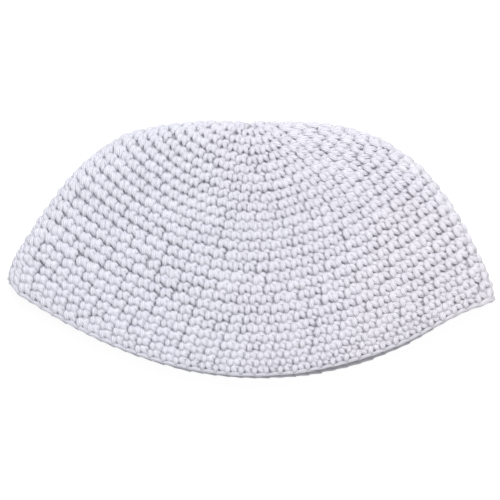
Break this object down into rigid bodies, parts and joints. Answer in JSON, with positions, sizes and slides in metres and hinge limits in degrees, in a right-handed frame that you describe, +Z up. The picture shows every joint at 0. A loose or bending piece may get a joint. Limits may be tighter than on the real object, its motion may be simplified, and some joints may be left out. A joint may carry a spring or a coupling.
{
  "type": "crocheted kippah skullcap, folded flat",
  "caption": "White crocheted kippah skullcap, worked in the round in thick cotton yarn, lying folded in half with its mouth open along one side.",
  "frame": {"origin": "on the surface the folded cap lies on, under the middle of its box", "axes": "+X along the fold from the left corner to the right corner, +Y from the mouth towards the crown, +Z up from the surface"},
  "size_m": [0.2487, 0.1321, 0.0182],
  "materials": {
    "white_cotton_yarn": "matte white cotton yarn, softly fuzzy, single crochet"
  },
  "bodies": {
    "root": {"crown": "white_cotton_yarn", "edge_round": "white_cotton_yarn"}
  },
  "joints": []
}
